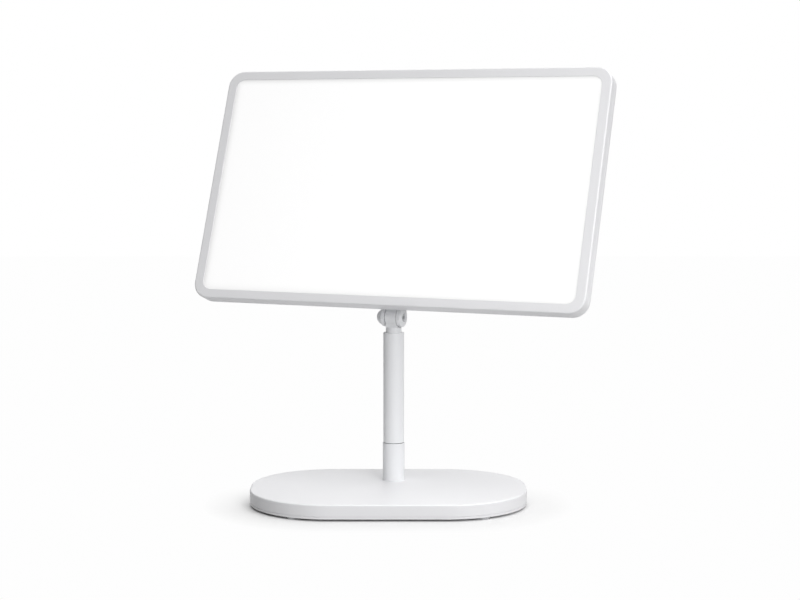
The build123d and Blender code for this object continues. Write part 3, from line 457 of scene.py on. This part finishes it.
# Studio: pale floor, soft light from the right and above, and the viewing camera. Places and sizes of the
# camera and the lamps are in metres, power in watts, and the world's above is its light from overhead.
studio = {"floorHalfM": 3.0, "floorColour": "ebebeb", "bounceColour": "a4a4a4", "white": 0.99,
          "contactMm": 1.0, "fadeMm": (4.0, 42.0), "backMm": (-41.0, 69.0)}
camera = {"lensMm": 80.33, "sensorMm": 36.0, "place": (0.00575, -1.6134, 0.3380), "pitchDown": 5.59,
          "farM": 50.0}
worldLight = {"shown": 1.0, "above": 1.48}
lamps = {
    "key": {"place": (0.9, -0.7, 2.0), "aim": (0.0, 0.0, 0.1), "size": 0.9, "power": 5.7},
    "front": {"place": (0.5, -1.3, 0.5), "aim": (0.0, 0.0, 0.15), "size": 0.4, "power": 7.4},
    "side": {"place": (0.55, -0.6, 0.5), "aim": (0.1, 0.0, 0.25), "size": 0.2, "power": 0.39},
    "rear": {"place": (0.1, 1.3, 0.8), "aim": (0.0, 0.0, 0.05), "size": 0.5, "power": 1.33},
}


def studioFloor():
    # The floor keeps the base's soft shadow close by and turns to an even white further out and behind, where a
    # painted white glow covers the floor's own shadow. The distance from the base's outline is that of a rounded
    # rectangle: the part of the folded position beyond the corner centres, its length, less the corner radius. The
    # paper's share is what the distance leaves times what the depth leaves, and all of it under the base.
    half = studio["floorHalfM"]
    mesh = bpy.data.meshes.new("studio_floor")
    mesh.from_pydata([(-half, -half, 0), (half, -half, 0), (half, half, 0), (-half, half, 0)], [], [(0, 1, 2, 3)])
    floor = bpy.data.objects.new("studio_floor", mesh)
    bpy.context.scene.collection.objects.link(floor)
    low, high = nodeBox("base_cover", rowPlace)
    middle, reach = (high + low) / 2 * mm, (high - low) / 2 * mm
    radius = reach[1] - base["endFlat"] / 2 * mm
    material, tree = newMaterial("matt_paper_sweep")
    place = addNode(tree, "TexCoord").outputs["Object"]
    centred = addNode(tree, "VectorMath", {"operation": "SUBTRACT"}, {0: place, 1: (middle[0], middle[1], 0.0)})
    folded = addNode(tree, "VectorMath", {"operation": "ABSOLUTE"}, {0: centred.outputs[0]})
    beyond = addNode(tree, "VectorMath", {"operation": "SUBTRACT"},
                     {0: folded.outputs[0], 1: (reach[0] - radius, reach[1] - radius, 0.0)})
    beyond = addNode(tree, "VectorMath", {"operation": "MAXIMUM"}, {0: beyond.outputs[0], 1: (0.0, 0.0, 0.0)})
    away = addNode(tree, "VectorMath", {"operation": "LENGTH"}, {0: beyond.outputs[0]})
    near, far = (radius + outward * mm for outward in studio["fadeMm"])
    fade = addNode(tree, "MapRange", None,
                   {"Value": away.outputs["Value"], "From Min": near, "From Max": far, "To Min": 1.0, "To Max": 0.0})
    depth = addNode(tree, "SeparateXYZ", None, {"Vector": centred.outputs[0]})
    front, back = (backward * mm for backward in studio["backMm"])
    rear = addNode(tree, "MapRange", None,
                   {"Value": depth.outputs["Y"], "From Min": front, "From Max": back, "To Min": 1.0, "To Max": 0.0})
    kept = addNode(tree, "Math", {"operation": "MULTIPLY"}, {0: fade.outputs["Result"], 1: rear.outputs["Result"]})
    edge = studio["contactMm"] * mm
    beside = addNode(tree, "MapRange", None,
                     {"Value": away.outputs["Value"], "From Min": radius - edge, "From Max": radius + edge})
    white = addNode(tree, "Math", {"operation": "SUBTRACT"}, {0: 1.0, 1: kept.outputs[0]})
    white = addNode(tree, "Math", {"operation": "MULTIPLY"}, {0: white.outputs[0], 1: beside.outputs["Result"]})
    path = addNode(tree, "LightPath")
    seen = addNode(tree, "Math", {"operation": "MAXIMUM"},
                   {0: path.outputs["Is Camera Ray"], 1: path.outputs["Is Glossy Ray"]})
    seen = addNode(tree, "Math", {"operation": "MAXIMUM"},
                   {0: seen.outputs[0], 1: path.outputs["Is Transmission Ray"]})
    tint = addNode(tree, "Mix", {"data_type": "RGBA"},
                   {0: seen.outputs[0], 6: toLinear(studio["bounceColour"]), 7: toLinear(studio["floorColour"])})
    paper = addNode(tree, "BsdfDiffuse", None, {"Color": tint.outputs[2]})
    # painted light: this white glow covers the floor's shadow away from the base and behind it
    glow = addNode(tree, "Emission", None, {"Color": (1.0, 1.0, 1.0, 1.0), "Strength": studio["white"]})
    share = addNode(tree, "Math", {"operation": "MULTIPLY"}, {0: seen.outputs[0], 1: white.outputs[0]})
    mixed = addNode(tree, "MixShader", None, {0: share.outputs[0], 1: paper.outputs[0], 2: glow.outputs[0]})
    addNode(tree, "OutputMaterial", None, {"Surface": mixed.outputs[0]})
    mesh.materials.append(material)


def studioWorld():
    # A pale room, brightest overhead, with a dark screen on the left. Light from a direction is how far it
    # points up, times 1 less how far it points left. Seen by the camera or through clear acrylic, the room
    # is an even white. What mirrors the room shows its light instead.
    world = bpy.data.worlds.new("white_room")
    world.use_nodes = True
    tree = world.node_tree
    tree.nodes.clear()
    way = addNode(tree, "TexCoord").outputs["Generated"]
    reach = []
    for aim in ((0, 0, 1), (-1, 0, 0)):
        part = addNode(tree, "VectorMath", {"operation": "DOT_PRODUCT"}, {0: way, 1: aim})
        reach.append(addNode(tree, "Math", {"operation": "MAXIMUM"}, {0: part.outputs["Value"], 1: 0.0}).outputs[0])
    unscreened = addNode(tree, "Math", {"operation": "MULTIPLY_ADD"},
                         {0: reach[1], 1: -worldLight["above"], 2: worldLight["above"]})
    light = addNode(tree, "Math", {"operation": "MULTIPLY"}, {0: reach[0], 1: unscreened.outputs[0]}).outputs[0]
    path = addNode(tree, "LightPath")
    seen = addNode(tree, "Math", {"operation": "MAXIMUM"},
                   {0: path.outputs["Is Camera Ray"], 1: path.outputs["Is Transmission Ray"]})
    amount = addNode(tree, "Mix", {"data_type": "FLOAT"}, {0: seen.outputs[0], 2: light, 3: worldLight["shown"]})
    white = addNode(tree, "Background", None, {"Color": (1.0, 1.0, 1.0, 1.0), "Strength": amount.outputs[0]})
    addNode(tree, "OutputWorld", None, {"Surface": white.outputs[0]})
    bpy.context.scene.world = world


def studioLamps():
    # An unturned area lamp points down. Tilt is its aim's angle from straight down, and yaw the aim's way
    # round on the floor.
    for name, values in lamps.items():
        light = bpy.data.lights.new(name, "AREA")
        light.size = values["size"]
        light.energy = values["power"]
        lamp = bpy.data.objects.new(name, light)
        aim = np.array(values["aim"]) - np.array(values["place"])
        lamp.location = values["place"]
        yaw = math.atan2(aim[0], -aim[1])
        tilt = math.atan2(math.hypot(aim[0], aim[1]), -aim[2])
        lamp.rotation_euler = (-tilt, 0, yaw)
        bpy.context.scene.collection.objects.link(lamp)


def studioCamera():
    # a camera that looks along Y, tipped down a little
    view = bpy.data.cameras.new("camera")
    view.lens = camera["lensMm"]
    view.sensor_width = camera["sensorMm"]
    view.sensor_fit = "HORIZONTAL"
    view.clip_end = camera["farM"]
    eye = bpy.data.objects.new("camera", view)
    eye.location = camera["place"]
    eye.rotation_euler = (math.radians(90 - camera["pitchDown"]), 0, 0)
    bpy.context.scene.collection.objects.link(eye)
    bpy.context.scene.camera = eye


studioFloor()
studioWorld()
studioLamps()
studioCamera()
bpy.context.scene.view_settings.view_transform = "Standard"
print("studio ready")
